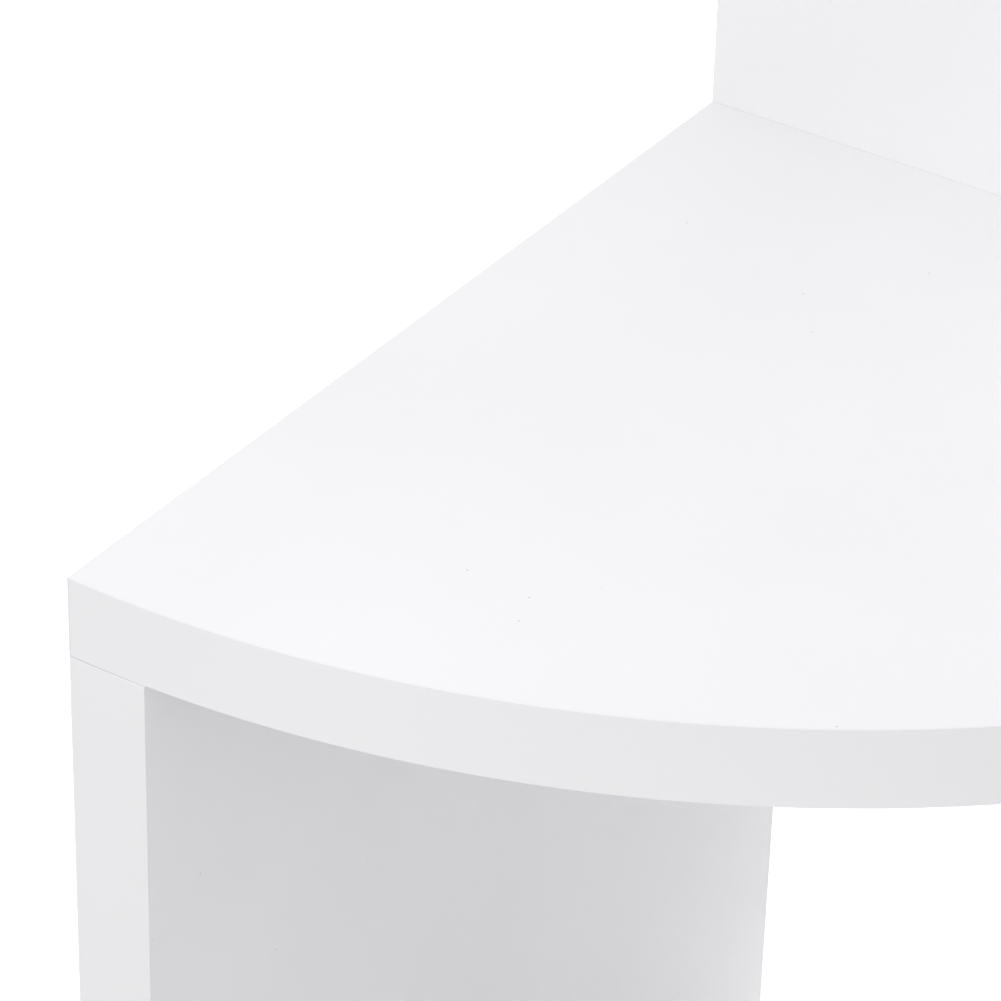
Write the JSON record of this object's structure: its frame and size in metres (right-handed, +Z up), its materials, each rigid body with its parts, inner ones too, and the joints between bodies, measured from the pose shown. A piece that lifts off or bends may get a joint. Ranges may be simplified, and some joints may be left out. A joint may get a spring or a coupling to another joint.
{
  "type": "corner desk",
  "caption": "Quarter-round corner desk of thick white hollow-core panels with an upright back panel, leg panels and levelling feet.",
  "frame": {"origin": "on the floor, under the middle of the 700 mm square that the desktop fills", "axes": "+Z up, +Y towards the rear wall, -X towards the left wall"},
  "size_m": [0.7, 0.7, 1],
  "materials": {
    "white_lacquer": "satin white lacquer on hardboard, faint orange peel",
    "white_edge_band": "satin white plastic edge band",
    "particleboard": "raw particleboard",
    "paper_core": "kraft paper",
    "beech": "fluted raw beech",
    "plated_steel": "bright zinc plate",
    "cast_zinc": "dull die-cast zinc",
    "white_cap": "moulded white plastic",
    "foot_plastic": "moulded grey plastic"
  },
  "bodies": {
    "desk": {"back_panel_core": "paper_core", "back_panel_frame": "particleboard", "back_panel_front_skin": "white_lacquer", "back_panel_left_band": "white_edge_band", "back_panel_rear_skin": "white_lacquer", "back_panel_right_band": "white_edge_band", "back_panel_top_band": "white_edge_band", "cam_bolts": "plated_steel", "cam_caps": "white_cap", "cam_housings": "cast_zinc", "desktop_bottom_skin": "white_lacquer", "desktop_core": "paper_core", "desktop_frame": "particleboard", "desktop_front_band": "white_edge_band", "desktop_left_band": "white_edge_band", "desktop_rear_band": "white_edge_band", "desktop_top_skin": "white_lacquer", "foot_inserts": "plated_steel", "joint_dowels": "beech", "left_leg_core": "paper_core", "left_leg_frame": "particleboard", "left_leg_front_band": "white_edge_band", "left_leg_inner_skin": "white_lacquer", "left_leg_outer_skin": "white_lacquer", "left_leg_rear_band": "white_edge_band", "right_leg_core": "paper_core", "right_leg_frame": "particleboard", "right_leg_front_skin": "white_lacquer", "right_leg_left_band": "white_edge_band", "right_leg_rear_skin": "white_lacquer", "right_leg_right_band": "white_edge_band"},
    "foot_left_front": {"foot_pad_left_front": "foot_plastic", "foot_stud_left_front": "plated_steel"},
    "foot_left_rear": {"foot_pad_left_rear": "foot_plastic", "foot_stud_left_rear": "plated_steel"},
    "foot_right_inner": {"foot_pad_right_inner": "foot_plastic", "foot_stud_right_inner": "plated_steel"},
    "foot_right_outer": {"foot_pad_right_outer": "foot_plastic", "foot_stud_right_outer": "plated_steel"}
  },
  "joints": [
    {"name": "foot_left_front_screw", "type": "slide", "parent": "desk", "child": "foot_left_front", "axis": [0, 0, -1], "range_m": [0, 0.012]},
    {"name": "foot_left_rear_screw", "type": "slide", "parent": "desk", "child": "foot_left_rear", "axis": [0, 0, -1], "range_m": [0, 0.012]},
    {"name": "foot_right_inner_screw", "type": "slide", "parent": "desk", "child": "foot_right_inner", "axis": [0, 0, -1], "range_m": [0, 0.012]},
    {"name": "foot_right_outer_screw", "type": "slide", "parent": "desk", "child": "foot_right_outer", "axis": [0, 0, -1], "range_m": [0, 0.012]}
  ]
}
